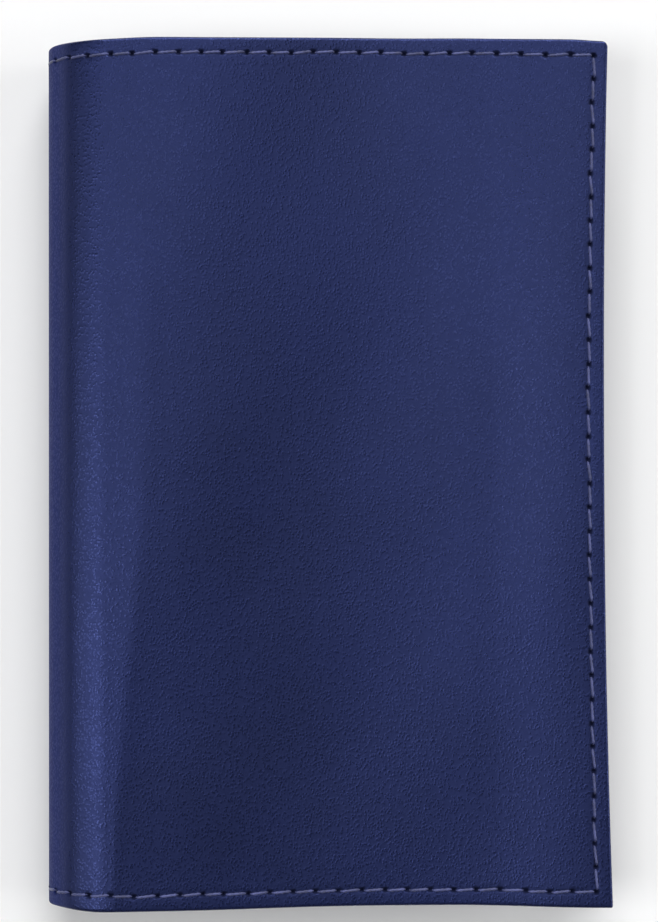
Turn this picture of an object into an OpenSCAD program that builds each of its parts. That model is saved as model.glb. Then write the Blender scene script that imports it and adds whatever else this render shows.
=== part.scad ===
// Book-style phone wallet case, lying closed on its back cover.
// X runs from the rounded spine (-X) to the fore edge (+X), Y up the page, Z out of the back cover.
// The origin is the middle of the resting face. All sizes are in millimetres.

/* [Covers] */
// Width of the closed case, from the spine to the fore edge
cover_w = 100; // [99:1:108]
// Height of the case
cover_h = 156; // [155:1:164]
// Thickness of the closed case at the spine
closed_t = 22; // [22:0.5:25]
// Radius of the two corners at the fore edge
corner_r = 1.2; // [0.6:0.1:3]
// How far the front cover sinks between the spine and the fore edge
cover_dip = 5.2; // [0:0.1:5.4]
// How far the front cover lifts again at the fore edge
fore_lift = 1.4; // [0:0.1:2]

/* [Layers] */
// Thickness of the outer leather
leather_t = 1.2; // [1:0.1:1.3]
// Thickness of the stiffening board in each cover
board_t = 0.6; // [0.4:0.1:0.7]
// Thickness of the lining
lining_t = 0.6; // [0.4:0.1:0.7]
// Thickness of each pocket panel
pocket_t = 0.5; // [0.4:0.1:0.6]
// Distance from the cover's edge to the board
board_inset = 5; // [4.5:0.5:8]
// Distance from the leather's edge to the lining's edge
lining_inset = 0.5; // [0.3:0.1:1]

/* [Stitching] */
// Distance from the cover's edge to the middle of the seam
seam_inset = 2.8; // [2.4:0.1:3.2]
// Distance from one stitch hole to the next
stitch_pitch = 4.32; // [3.6:0.04:6]
// Width of the thread
thread_w = 0.6; // [0.4:0.1:0.8]

/* [Phone shell] */
// Width of the phone's space
phone_w = 72; // [70:0.5:72]
// Height of the phone's space
phone_h = 147; // [144:0.5:147]
// Depth of the phone's space above the liner
phone_d = 7.8; // [7.2:0.1:7.8]
// Corner radius of the phone's space
phone_r = 9; // [6:0.5:12]
// Thickness of the shell's side walls
shell_wall = 1.5; // [1.2:0.1:1.6]
// Side of the square camera window
window_w = 34; // [28:1:36]
// Corner radius of the camera window
window_r = 8; // [5:0.5:10]

/* [Card pockets] */
// Width of the card pockets
pocket_w = 62; // [60:1:64]
// How far each pocket's mouth stands above the next one's
pocket_step = 14; // [10:1:16]
// Depth of the front pocket, from its mouth to its bottom seam
pocket_depth = 78; // [72:1:80]

/* [Hidden] */
$fn = 96;
eps = 0.01;
far = 400;

navy = "#2b3160";
lining_navy = "#3a3f63";
thread_blue = "#5d64a3";
board_grey = "#9a958a";
shell_black = "#202227";

// The spine is a half round about [fold_x, bend_r]. Its middle turns on two folds, at 45 degrees to it.
bend_r = closed_t / 2;
fore_x = cover_w / 2;
fold_x = bend_r - fore_x;
span = fore_x - fold_x;
fold_gap = 0.9;          // degrees of the arc left free on each side of a fold
BACK_ARC = [225 + fold_gap, 270];
SPINE_ARC = [135 + fold_gap, 225 - fold_gap];
FRONT_ARC = [90, 135 - fold_gap];

// Depths below the outer surface at which each layer begins
board_d = leather_t;
panel_d = board_d + board_t;
cash_d = panel_d + lining_t;
card_d = cash_d + pocket_t;
groove_d = 0.35;         // depth of the channel that the seam lies in
groove_w = 1;
thread_d = [0.05, 0.3];  // depths between which the thread lies
stitch_share = 0.72;     // share of the pitch that shows as thread
seam_x = fore_x - seam_inset;
seam_y = cover_h / 2 - seam_inset;

// Heights in the back stack
adhesive_t = 0.2;
shell_floor = 0.9;
liner_t = 0.3;
shell_z = cash_d + adhesive_t;
liner_z = shell_z + shell_floor;
phone_z = liner_z + liner_t;
lip = 0.5;               // how far the rim reaches in over the phone
lip_h = 1;
rim_z = phone_z + phone_d + 0.4;
shell_x = (fold_x + fore_x) / 2 + 1;

// The camera window stands near the corner at +X, +Y
window_edge = 2;
window_at = [shell_x + phone_w / 2 - window_edge - window_w / 2,
             phone_h / 2 - window_edge - window_w / 2];
bezel_wall = 1.2;
bezel_play = 0.2;
bezel_z = 0.3;
window_cut = window_w + 2 * (bezel_wall + bezel_play);

// Openings in the shell's walls: where each one is along its wall, its width, and its lower edge
notch_floor = phone_z + 1.8;
notch_r = 1.5;
port_notch_w = 46;
volume_notch_w = 34;
volume_notch_y = 36;
power_notch_w = 18;
power_notch_y = 24;

// Card and cash pockets
pocket_x = shell_x - 0.5;
pocket_low = 8 - pocket_depth;
pocket_count = 3;
cash_edge = board_inset + 0.5;
cash_seam = 1.6;
card_seam = 1.4;
pocket_thread = [0.06, 0.26];  // heights between which the thread stands on a pocket panel

// A smooth step from 0 at a to 1 at b
function smooth(t, a, b) = (1 - cos(180 * max(0, min(1, (t - a) / (b - a))))) / 2;

// Height of the front cover's outer surface: level at the spine, a long dip, and a small lift at the fore edge
function front_z(x) = let (t = (x - fold_x) / span)
    closed_t - cover_dip * smooth(t, 0.12, 0.72) + fore_lift * smooth(t, 0.75, 0.95);

facets = 24;
arc_facets = 12;
FRONT_X = [for (i = [0:facets]) fold_x + span * i / facets];

module along_y(h) { rotate([90, 0, 0]) linear_extrude(h, center = true) children(); }

module rounded_square(w, h, r) {
    square([w - 2 * r, h], center = true);
    square([w, h - 2 * r], center = true);
    for (x = [-1, 1], y = [-1, 1])
        translate([x * (w / 2 - r), y * (h / 2 - r)]) circle(r);
}

// A sector of the spine's half round, between two depths and two angles
module arc_section(d0, d1, a) {
    mid = (a[0] + a[1]) / 2;
    reach = 2 * bend_r;
    translate([fold_x, bend_r]) intersection() {
        difference() {
            circle(bend_r - d0);
            circle(bend_r - d1);
        }
        polygon([[0, 0], for (v = [a[0], mid, a[1]]) reach * [cos(v), sin(v)]]);
    }
}

module back_section(d0, d1) {
    translate([fold_x, d0]) square([span, d1 - d0]);
    arc_section(d0, d1, BACK_ARC);
}

module front_flat_section(d0, d1) {
    polygon([for (x = FRONT_X) [x, front_z(x) - d0],
             for (i = [facets:-1:0]) [FRONT_X[i], front_z(FRONT_X[i]) - d1]]);
}

// The front cover's surface at depth d, from the fold at the spine to the fore edge
function front_line(d) = [
    for (i = [0:arc_facets - 1])
        let (v = FRONT_ARC[1] + (FRONT_ARC[0] - FRONT_ARC[1]) * i / arc_facets)
            [fold_x, bend_r] + (bend_r - d) * [cos(v), sin(v)],
    for (x = FRONT_X) [x, front_z(x) - d]
];

function reversed(v) = [for (i = [len(v) - 1:-1:0]) v[i]];

module front_section(d0, d1) { polygon([each front_line(d0), each reversed(front_line(d1))]); }

// The space inside the case's outline, drawn in from its three open edges, with its fore corners rounded
module outline(inset, r = corner_r) {
    left = -fore_x - 1;
    right = fore_x - inset;
    high = cover_h - 2 * inset;
    translate([0, 0, -far / 2]) linear_extrude(far) {
        translate([left, -high / 2]) square([right - r - left, high]);
        translate([left, r - high / 2]) square([right - left, high - 2 * r]);
        for (y = [-1, 1]) translate([right - r, y * (high / 2 - r)]) circle(r);
    }
}

// The space over the board, drawn in from the fold as well
module board_space(grow = 0) {
    inset = board_inset - grow;
    low = fold_x + inset;
    translate([(low + fore_x - inset) / 2, 0, -far / 2])
        linear_extrude(far) rounded_square(fore_x - inset - low, cover_h - 2 * inset, 2);
}

module window_space(w, r) {
    translate([window_at.x, window_at.y, -far / 2]) linear_extrude(far) rounded_square(w, w, r);
}

// The channel that the seam lies in, along both long edges and the fore edge
module seam_channel() {
    difference() {
        outline(seam_inset - groove_w / 2, 1);
        outline(seam_inset + groove_w / 2, 1);
    }
}

// A lining lies on the leather at its margin and steps over the board
module lining_over_board(margin_h) {
    intersection() {
        outline(lining_inset);
        union() {
            difference() {
                along_y(margin_h) children(0);
                board_space();
            }
            intersection() {
                along_y(margin_h) children(1);
                board_space(lining_t);
            }
        }
    }
}

// Row of dashes between a and b, each given by its ends
function dashes(a, b) = let (n = round((b - a) / stitch_pitch), p = (b - a) / n)
    [for (i = [0:n - 1]) [a + (i + (1 - stitch_share) / 2) * p, a + (i + (1 + stitch_share) / 2) * p]];

// The same on an arc, in degrees, with the pitch measured on the outer surface
function arc_dashes(a) = let (n = round((a[1] - a[0]) * PI / 180 * bend_r / stitch_pitch), p = (a[1] - a[0]) / n)
    [for (i = [0:n - 1]) [a[0] + (i + (1 - stitch_share) / 2) * p, a[0] + (i + (1 + stitch_share) / 2) * p]];

module both_long_seams() { for (y = [-seam_y, seam_y]) translate([0, y, 0]) children(); }

module arc_stitches(a) {
    both_long_seams() for (s = arc_dashes(a))
        along_y(thread_w) arc_section(thread_d[0], thread_d[1], s);
}

// One stitch along X on a sloping surface, between two depths
module stitch_x(s, d) {
    along_y(thread_w)
        polygon([[s[0], front_z(s[0]) - d[0]], [s[1], front_z(s[1]) - d[0]],
                 [s[1], front_z(s[1]) - d[1]], [s[0], front_z(s[0]) - d[1]]]);
}

// One stitch along Y, between two heights
module stitch_y(x, s, z) {
    translate([x - thread_w / 2, s[0], z[0]]) cube([thread_w, s[1] - s[0], z[1] - z[0]]);
}

module back_cover_leather() {
    color(navy) difference() {
        intersection() {
            along_y(cover_h) back_section(0, leather_t);
            outline(0);
        }
        intersection() {
            along_y(cover_h) back_section(-eps, groove_d);
            seam_channel();
        }
        window_space(window_cut, window_r + bezel_wall + bezel_play);
    }
}

module back_board() {
    color(board_grey) difference() {
        intersection() {
            along_y(cover_h) back_section(board_d, panel_d);
            board_space();
        }
        window_space(window_cut, window_r + bezel_wall + bezel_play);
    }
}

module back_lining() {
    color(lining_navy) difference() {
        lining_over_board(cover_h) {
            back_section(board_d, board_d + lining_t);
            back_section(panel_d, cash_d);
        }
        window_space(window_cut, window_r + bezel_wall + bezel_play);
    }
}

module back_stitching() {
    color(thread_blue) {
        both_long_seams() for (s = dashes(fold_x, seam_x - groove_w))
            translate([s[0], -thread_w / 2, thread_d[0]])
                cube([s[1] - s[0], thread_w, thread_d[1] - thread_d[0]]);
        for (s = dashes(-seam_y, seam_y)) stitch_y(seam_x, s, thread_d);
        arc_stitches(BACK_ARC);
    }
}

module shell_plate(z, h, inset) {
    translate([shell_x, 0, z]) linear_extrude(h)
        rounded_square(phone_w - 2 * inset, phone_h - 2 * inset, phone_r - inset);
}

module shell_adhesive() {
    adhesive_inset = 2;
    color("white") difference() {
        intersection() {
            shell_plate(cash_d, adhesive_t, adhesive_inset);
            board_space();
        }
        window_space(window_cut + 1, window_r + 2);
    }
}

module camera_bezel() {
    color(shell_black) translate([window_at.x, window_at.y, bezel_z])
        linear_extrude(shell_z - bezel_z) difference() {
            rounded_square(window_w + 2 * bezel_wall, window_w + 2 * bezel_wall, window_r + bezel_wall);
            rounded_square(window_w, window_w, window_r);
        }
}

// A U-shaped opening through a wall that faces -Y, with its lower corners rounded
module notch(w) {
    h = rim_z - notch_floor + 1;
    rotate([90, 0, 0]) translate([0, 0, -2 * shell_wall]) linear_extrude(4 * shell_wall) {
        translate([-w / 2 + notch_r, 0]) square([w - 2 * notch_r, h]);
        translate([-w / 2, notch_r]) square([w, h - notch_r]);
        for (x = [-1, 1]) translate([x * (w / 2 - notch_r), notch_r]) circle(notch_r);
    }
}

module phone_shell() {
    wall_x = phone_w / 2 + shell_wall / 2;
    wall_y = phone_h / 2 + shell_wall / 2;
    color(shell_black) difference() {
        shell_plate(shell_z, rim_z - shell_z, -shell_wall);
        shell_plate(liner_z, rim_z - lip_h - liner_z, 0);
        shell_plate(rim_z - lip_h - eps, lip_h + 1, lip);
        window_space(window_w, window_r);
        translate([shell_x, -wall_y, notch_floor]) notch(port_notch_w);
        translate([shell_x - wall_x, volume_notch_y, notch_floor]) rotate([0, 0, 90]) notch(volume_notch_w);
        translate([shell_x + wall_x, power_notch_y, notch_floor]) rotate([0, 0, 90]) notch(power_notch_w);
    }
}

module shell_liner() {
    color("#4c4f58") difference() {
        shell_plate(liner_z, liner_t, 0.4);
        window_space(window_w + 2, window_r + 1);
    }
}

module spine_leather() {
    color(navy) difference() {
        along_y(cover_h) arc_section(0, leather_t, SPINE_ARC);
        both_long_seams() along_y(groove_w) arc_section(-1, groove_d, [SPINE_ARC[0] - 5, SPINE_ARC[1] + 5]);
    }
}

module spine_lining() {
    color(lining_navy) along_y(cover_h - 2 * lining_inset)
        arc_section(board_d, board_d + lining_t, SPINE_ARC);
}

module spine_stitching() { color(thread_blue) arc_stitches(SPINE_ARC); }

module front_cover_leather() {
    color(navy) difference() {
        intersection() {
            along_y(cover_h) front_section(0, leather_t);
            outline(0);
        }
        intersection() {
            along_y(cover_h) front_section(-eps, groove_d);
            seam_channel();
        }
    }
}

module front_board() {
    color(board_grey) intersection() {
        along_y(cover_h) front_flat_section(board_d, panel_d);
        board_space();
    }
}

module front_lining() {
    color(lining_navy) lining_over_board(cover_h) {
        front_section(board_d, board_d + lining_t);
        front_flat_section(panel_d, cash_d);
    }
}

module front_stitching() {
    fore_z = front_z(seam_x);
    color(thread_blue) {
        both_long_seams() for (s = dashes(fold_x, seam_x - groove_w)) stitch_x(s, thread_d);
        for (s = dashes(-seam_y, seam_y))
            stitch_y(seam_x, s, [fore_z - thread_d[1], fore_z - thread_d[0]]);
        arc_stitches(FRONT_ARC);
    }
}

// A flat panel on the front cover's inside, between two depths
module front_panel(d0, d1, x0, x1, y0, y1, r) {
    intersection() {
        along_y(cover_h) front_flat_section(d0, d1);
        translate([(x0 + x1) / 2, (y0 + y1) / 2, -far / 2])
            linear_extrude(far) rounded_square(x1 - x0, y1 - y0, r);
    }
}

module cash_pocket() {
    y = cover_h / 2 - cash_edge;
    color(lining_navy)
        front_panel(cash_d, card_d, fold_x + cash_edge, fore_x - cash_edge, -y, y, 1.5);
}

// A stitch that lies on a pocket panel at the given depth, on the inside of the front cover
module pocket_stitch_x(s, y, d) { translate([0, y, 0]) stitch_x(s, [for (h = pocket_thread) d + h]); }

module pocket_stitch_y(x, s, d) {
    z = front_z(x) - d;
    stitch_y(x, s, [z - pocket_thread[1], z - pocket_thread[0]]);
}

// The cash pocket is sewn along three edges and stays open towards the spine
module cash_pocket_stitching() {
    x = fore_x - cash_edge - cash_seam;
    y = cover_h / 2 - cash_edge - cash_seam;
    color(thread_blue) {
        for (s = dashes(fold_x + cash_edge + 1, x - 1), side = [-y, y]) pocket_stitch_x(s, side, card_d);
        for (s = dashes(-y, y)) pocket_stitch_y(x, s, card_d);
    }
}

// Card pocket i, counted from the highest mouth, lies on the one behind it
function mouth_y(i) = pocket_low + pocket_depth + (pocket_count - i) * pocket_step;
function card_face(i) = card_d + i * pocket_t;

module card_pocket(i) {
    color(navy) front_panel(card_face(i - 1), card_face(i),
                            pocket_x - pocket_w / 2, pocket_x + pocket_w / 2, pocket_low, mouth_y(i), 0.8);
}

module card_pocket_1() { card_pocket(1); }

module card_pocket_2() { card_pocket(2); }

module card_pocket_3() { card_pocket(3); }

// One seam round the three pockets' sides and bottom, which steps up with the panels
module card_pocket_stitching() {
    side = pocket_w / 2 - card_seam;
    low = pocket_low + card_seam;
    color(thread_blue) {
        for (s = dashes(pocket_x - side, pocket_x + side)) pocket_stitch_x(s, low, card_face(pocket_count));
        for (x = [pocket_x - side, pocket_x + side]) {
            for (s = dashes(low + 1, mouth_y(pocket_count))) pocket_stitch_y(x, s, card_face(pocket_count));
            for (i = [1:pocket_count - 1], s = dashes(mouth_y(i + 1), mouth_y(i)))
                pocket_stitch_y(x, s, card_face(i));
        }
    }
}

back_cover_leather();
back_board();
back_lining();
back_stitching();
shell_adhesive();
camera_bezel();
phone_shell();
shell_liner();
spine_leather();
spine_lining();
spine_stitching();
front_cover_leather();
front_board();
front_lining();
front_stitching();
cash_pocket();
cash_pocket_stitching();
card_pocket_1();
card_pocket_2();
card_pocket_3();
card_pocket_stitching();
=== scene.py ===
import math

import bmesh
import bpy
import numpy as np
from bpy.props import FloatProperty, IntProperty, PointerProperty, StringProperty
from mathutils import Matrix, Vector


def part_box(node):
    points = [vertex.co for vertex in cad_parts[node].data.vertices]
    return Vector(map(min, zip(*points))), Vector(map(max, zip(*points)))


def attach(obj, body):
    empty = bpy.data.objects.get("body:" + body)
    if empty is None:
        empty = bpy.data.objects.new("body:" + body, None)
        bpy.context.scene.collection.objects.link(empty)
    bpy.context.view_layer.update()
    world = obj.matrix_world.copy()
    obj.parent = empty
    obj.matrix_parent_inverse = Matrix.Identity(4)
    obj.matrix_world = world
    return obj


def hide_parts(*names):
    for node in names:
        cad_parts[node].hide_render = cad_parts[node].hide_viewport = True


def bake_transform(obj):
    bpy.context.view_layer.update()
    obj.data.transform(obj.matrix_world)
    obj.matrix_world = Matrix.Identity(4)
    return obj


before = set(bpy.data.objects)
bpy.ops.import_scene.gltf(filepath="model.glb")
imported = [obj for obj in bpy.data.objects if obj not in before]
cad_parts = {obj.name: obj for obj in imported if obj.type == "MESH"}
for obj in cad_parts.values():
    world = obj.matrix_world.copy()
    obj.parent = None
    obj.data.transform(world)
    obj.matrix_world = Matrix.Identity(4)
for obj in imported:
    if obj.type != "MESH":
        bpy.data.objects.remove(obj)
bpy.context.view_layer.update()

bl_info = {
    "name": "Phone wallet case",
    "version": (1, 0, 0),
    "blender": (4, 5, 0),
    "location": "View3D > Sidebar > Wallet case",
    "description": "Builds the leather, linings, seams, pockets and shell of a book-style phone wallet case",
    "category": "Add Mesh",
}

# All sizes below are in millimetres, and MM turns them to Blender's metres.
MM = 0.001
FRONT, BACK = 1, -1


def box_mm(node):
    """Lowest and highest corner of a CAD node in millimetres"""
    low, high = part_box(node)
    return low / MM, high / MM


def thickness_between(outer, inner):
    """How much deeper one node starts than another, where both lie on the flat part of the case"""
    return box_mm(outer)[1].z - box_mm(inner)[1].z


COVER_LOW, COVER_HIGH = box_mm("front_cover_leather")
CLOSED_T = COVER_HIGH.z
HALF_H = COVER_HIGH.y
FORE_X = COVER_HIGH.x
# The spine is a half round, and the case is centred on its origin
BEND_R = CLOSED_T / 2
FOLD_X = BEND_R - FORE_X
SPAN = FORE_X - FOLD_X
QUARTER = math.pi / 2 * BEND_R
LENGTH = QUARTER + SPAN

LEATHER_T = thickness_between("front_cover_leather", "front_board")
BOARD_T = box_mm("back_board")[1].z - box_mm("back_board")[0].z
LINING_T = box_mm("shell_adhesive")[0].z - box_mm("back_board")[1].z
POCKET_T = thickness_between("card_pocket_1", "card_pocket_2")
CASH_D = LEATHER_T + BOARD_T + LINING_T
BOARD_INSET = FORE_X - box_mm("front_board")[1].x
LINING_INSET = HALF_H - box_mm("front_lining")[1].y

# The front cover sinks over one share of its span and lifts a little over another
COVER_DIP = CLOSED_T - LEATHER_T - COVER_LOW.z
DIP_SPAN = (0.12, 0.72)
FORE_LIFT = 1.4
LIFT_SPAN = (0.75, 0.95)

# Slow unevenness of a cover: each wave's length along the cover and up it, its phase and its share
SLOW_WAVES = ((61, 97, 0.6, 1.0), (37, -58, 2.1, 0.7), (90, 33, 4.0, 0.5))
HIGHEST_WAVE = sum(share for *_, share in SLOW_WAVES)
BACK_WAVES = 0.03

# The bend round the spine draws the upper and lower ends in: how far, and between which distances it dies out
UPPER_DRAW = (0.65, 9, 29)
LOWER_DRAW = (0.6, 5, 17)

# Where the cover turns down past the spine: how far out it starts and how softly it turns, at the top and the
# foot
RIDGE_START = (5.4, 1.0)
RIDGE_SOFT = (3.2, 0.8)
RIDGE_DROP, RIDGE_FALL, RIDGE_RETURN = 1.9, 24, 38

# Layers that lie on each other are kept a hair apart, so that their faces never share a plane
HAIR = 0.01

# A stitch starts this far inside its hole and dives this deep over this length. Its plies twist once in
# TWIST_PITCH and stand out from its round core by PLY_LOBE of its radius.
STITCH_START, STITCH_DIVE, DIVE_LENGTH = 0.38, 0.9, 0.55
TWIST_PITCH, PLY_LOBE = 1.9, 0.15
# How far the two ends of a stitch lie across its seam, where it runs along a long edge, down the fore edge
# and on a pocket
LONG_LEAN, FORE_LEAN, POCKET_LEAN = (-0.18, 0.16), (-0.08, 0.26), (-0.08, 0.08)
THREAD_SMOOTH = 70


def hex_to_linear(text):
    """An sRGB hex colour as linear red, green, blue and alpha"""
    parts = [int(text[i:i + 2], 16) / 255 for i in (1, 3, 5)]
    return [p / 12.92 if p <= 0.04045 else ((p + 0.055) / 1.055) ** 2.4 for p in parts] + [1.0]


# ---------------------------------------------------------------- settings

class LeatherSettings(bpy.types.PropertyGroup):
    """Colours and surface of the leather and the lining"""
    colour: StringProperty(name="Leather", description="Main colour of the leather, sRGB hex",
                           default="#0f1531")
    shade: StringProperty(
        name="Shade", description="Darker tone that the dye leaves in patches, sRGB hex", default="#0c1127")
    # Painted sheen: a lighter, bluer tone that the leather's colour takes along mid-spine, standing in for the
    # light that the rounded spine catches
    painted_spine_sheen_colour: StringProperty(
        name="Bend", description="Bluer tone where the hide stretches round the spine, sRGB hex",
        default="#0b1a55")
    edge_colour: StringProperty(
        name="Edge paint", description="Colour of the painted cut edges, sRGB hex", default="#363d78")
    lining_colour: StringProperty(name="Lining", description="Colour of the microsuede, sRGB hex",
                                  default="#2e335c")
    grain: FloatProperty(name="Grain", description="Width of one pebble of the grain, in mm", default=0.44,
                         min=0.2)
    roughness: FloatProperty(
        name="Roughness", description="Roughness of the finish coat", default=0.23, min=0, max=1,
        subtype="FACTOR")


class CoverSettings(bpy.types.PropertyGroup):
    """How far the covers differ from flat, straight sheets"""
    fore_out: FloatProperty(
        name="Fore reach", description="How far the fore edge's middle lies past its designed place, in mm",
        default=0.33)
    fore_bow: FloatProperty(
        name="Fore bow", description="How far the fore corners reach out past the middle, in mm",
        default=1.1, min=0)
    waves: FloatProperty(
        name="Waves", description="Height of the slow unevenness in the front cover, in mm",
        default=0.13, min=0)
    edge_round: FloatProperty(
        name="Edge round", description="Radius of the rubbed-down outer edge, in mm", default=0.5, min=0)
    corner_high: FloatProperty(
        name="Upper corners", description="Radius of the upper fore corner, in mm", default=1.3, min=0.2)
    corner_low: FloatProperty(
        name="Lower corners", description="Radius of the lower fore corner, in mm", default=0.5, min=0.2)


class SeamSettings(bpy.types.PropertyGroup):
    """The edge seam and the pocket seams"""
    inset: FloatProperty(name="Inset", description="Distance from the edge to the seam, in mm", default=2.8,
                         min=1)
    long_count: IntProperty(
        name="Long edge stitches", description="Stitches from mid-spine to the fore corner",
        default=25, min=4, subtype="UNSIGNED")
    fore_count: IntProperty(
        name="Fore edge stitches", description="Stitches from corner to corner of the fore edge",
        default=35, min=4, subtype="UNSIGNED")
    thread: FloatProperty(name="Thread", description="Width of the thread, in mm", default=0.44, min=0.1)
    hole: FloatProperty(name="Hole", description="Radius of a stitch hole, in mm", default=0.42, min=0.1)
    wander: FloatProperty(
        name="Wander", description="How unevenly the holes were punched, in mm", default=0.11, min=0)
    colour: StringProperty(name="Thread colour", description="Colour of the thread, sRGB hex",
                           default="#3f4574")
    pocket_pitch: FloatProperty(
        name="Pocket stitch", description="Length of a pocket stitch, in mm", default=3.2, min=1)


class StageSettings(bpy.types.PropertyGroup):
    """Floor, lights and camera"""
    distance: FloatProperty(
        name="Camera distance", description="From the camera to the front cover, in mm", default=500, min=100)
    tilt: FloatProperty(
        name="Camera tilt", description="How far below square-on the camera stands",
        default=math.radians(1.8), subtype="ANGLE")
    roll: FloatProperty(
        name="Camera roll", description="How far the view is turned to the left", default=math.radians(0.2),
        subtype="ANGLE")
    scale: FloatProperty(
        name="Scale", description="Share of the view's height that one mm of the cover takes",
        default=0.00607)
    floor: StringProperty(name="Floor", description="Colour of the floor, sRGB hex", default="#efefef")


# ---------------------------------------------------------------- shape of the case

def ease(t, start, end):
    """A smooth step from 0 at start to 1 at end"""
    return (1 - np.cos(np.pi * np.clip((t - start) / (end - start), 0, 1))) / 2


def front_height(x):
    """Height of the front cover's outer surface over x"""
    t = (x - FOLD_X) / SPAN
    return CLOSED_T - COVER_DIP * ease(t, *DIP_SPAN) + FORE_LIFT * ease(t, *LIFT_SPAN)


def cover_line(side, s):
    """The case's outer line at distance s from mid-spine: x, z and the outward normal's x and z"""
    turn = np.minimum(s, QUARTER) / BEND_R
    run = np.maximum(s - QUARTER, 0)
    rise = BEND_R * np.sin(turn)
    slope = np.zeros_like(rise)
    if side == FRONT:
        step = 0.05
        here = FOLD_X + run
        rise = rise + front_height(here) - CLOSED_T
        slope = (front_height(here + step) - front_height(here - step)) / (2 * step)
    lean = np.pi / 2 - turn + np.arctan(slope)
    x = FOLD_X - BEND_R * np.cos(turn) + run
    return x, BEND_R + side * rise, -np.sin(lean), side * np.cos(lean)


def bow(x, y):
    """The fore edge is a little hollow: its corners reach further out than its middle"""
    cover = bpy.context.scene.wallet_cover
    return (cover.fore_out + cover.fore_bow * (np.abs(y) / HALF_H) ** 2.2) * ease(x, FORE_X - 30, FORE_X)


def drawn_in(s, y):
    """Where the leather bends, its upper and lower edges draw in towards the middle"""
    high, low = (most * (1 - ease(s, start, end)) for most, start, end in (UPPER_DRAW, LOWER_DRAW))
    return -np.where(y > 0, high, low) * y / HALF_H


def cut_sway(side, x, y):
    """The front was cut by hand: its long edges sway up in the middle, and the upper one falls to the
    corner"""
    if side == BACK:
        return np.zeros_like(x)
    sway = 0.45 * ease(x, -28, 8) - 0.55 * ease(x, 22, FORE_X)
    return sway - 0.3 * ease(x, FORE_X - 7, FORE_X) * ease(y, 0.8 * HALF_H, HALF_H)


def waves(side, s, y):
    """Slow unevenness of a cover, outwards, which dies out at the spine. The back stays above its resting
    face."""
    turn = 2 * np.pi
    wave = sum(share * np.sin(turn * (s / along + y / up) + phase) for along, up, phase, share in SLOW_WAVES)
    past_spine = ease(s, 0.7 * QUARTER, 1.8 * QUARTER)
    if side == BACK:
        return BACK_WAVES * (wave - HIGHEST_WAVE) / HIGHEST_WAVE * past_spine
    height = bpy.context.scene.wallet_cover.waves
    return height * wave / HIGHEST_WAVE * past_spine - phone_edge(s, y) - fore_drop(s, y)


def phone_edge(s, y):
    """The cover turns down where the spine's arc ends, over a ridge that's sharper and nearer the spine at
    its lower end, and comes back to its plain shape further out"""
    foot = 1 - ease(y, -HALF_H, 10)
    start, soft = (top - (top - low) * foot for top, low in (RIDGE_START, RIDGE_SOFT))
    run = s - QUARTER - start
    ramp = np.where(run < soft, np.maximum(run, 0) ** 2 / (2 * soft), run - soft / 2)
    down = np.sin(np.pi / 2 * np.clip(ramp / RIDGE_FALL, 0, 1))
    lowest = RIDGE_FALL + soft / 2
    back = 1 - ease(run, lowest, lowest + RIDGE_RETURN)
    fade = 1 - 0.5 * ease(y, -0.6 * HALF_H, 0.9 * HALF_H)
    return RIDGE_DROP * down * back * fade


def fore_drop(s, y):
    """The lift beside the fore edge is only about half as high at the foot"""
    t = (s - QUARTER) / SPAN
    return 0.55 * FORE_LIFT * ease(t, *LIFT_SPAN) * (1 - ease(y, -0.9 * HALF_H, 0.5 * HALF_H))


def place(side, s, y, depth):
    """Points of the closed case in mm, at distance s from mid-spine, height y, and depth below the outer
    surface"""
    s, y, depth = np.broadcast_arrays(np.asarray(s, float), y, depth)
    x, z, nx, nz = cover_line(side, s)
    depth = depth - waves(side, s, y)
    x, z = x - nx * depth, z - nz * depth
    return np.stack([x + bow(x, y), y + drawn_in(s, y) + cut_sway(side, x, y), z], axis=-1)


def at_x(x):
    """Distance from mid-spine at which the case's line reaches x, on its flat part"""
    return QUARTER + x - FOLD_X


def round_corners(s, y, s_end, y_low, y_high, radii):
    """Draws the square corners at s_end in to arcs, with radii for the low and the high corner"""
    s, y = s.copy(), y.copy()
    for end, out, r in ((y_low, -1, radii[0]), (y_high, 1, radii[1])):
        u, v = (s - (s_end - r)) / r, out * (y - (end - out * r)) / r
        inside = (u > 0) & (v > 0)
        round_u = u * np.sqrt(np.maximum(1 - v * v / 2, 0))
        round_v = v * np.sqrt(np.maximum(1 - u * u / 2, 0))
        s = np.where(inside, s_end - r + r * round_u, s)
        y = np.where(inside, end - out * r + out * r * round_v, y)
    return s, y


def round_left_corners(s, y, s_start, y_low, y_high, r):
    """The same at the edge nearest the spine"""
    mirrored, y = round_corners(2 * s_start - s, y, s_start, y_low, y_high, (r, r))
    return 2 * s_start - mirrored, y


def merged(lines, gap):
    """Grid lines in order, without those closer than gap to the one before. The two ends stay."""
    lines = sorted(lines)
    kept = [lines[0]]
    for value in lines[1:-1]:
        if value - kept[-1] >= gap and lines[-1] - value >= gap:
            kept.append(value)
    return np.array(kept + [lines[-1]])


# ---------------------------------------------------------------- mesh building

def new_piece(name, points, faces, materials, face_materials=None, smooth_angle=50):
    """A mesh object from points in mm. Its faces are turned outwards and shaded smooth up to an angle."""
    mesh = bpy.data.meshes.new(name)
    mesh.from_pydata((np.asarray(points) * MM).tolist(), [], faces)
    for material in materials:
        mesh.materials.append(material)
    if face_materials is not None:
        mesh.polygons.foreach_set("material_index", np.asarray(face_materials, np.int32))
    shaped = bmesh.new()
    shaped.from_mesh(mesh)
    bmesh.ops.recalc_face_normals(shaped, faces=shaped.faces)
    shaped.to_mesh(mesh)
    shaped.free()
    mesh.shade_smooth()
    mesh.set_sharp_from_angle(angle=math.radians(smooth_angle))
    piece = bpy.data.objects.new(name, mesh)
    bpy.context.scene.collection.objects.link(piece)
    return piece


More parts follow.
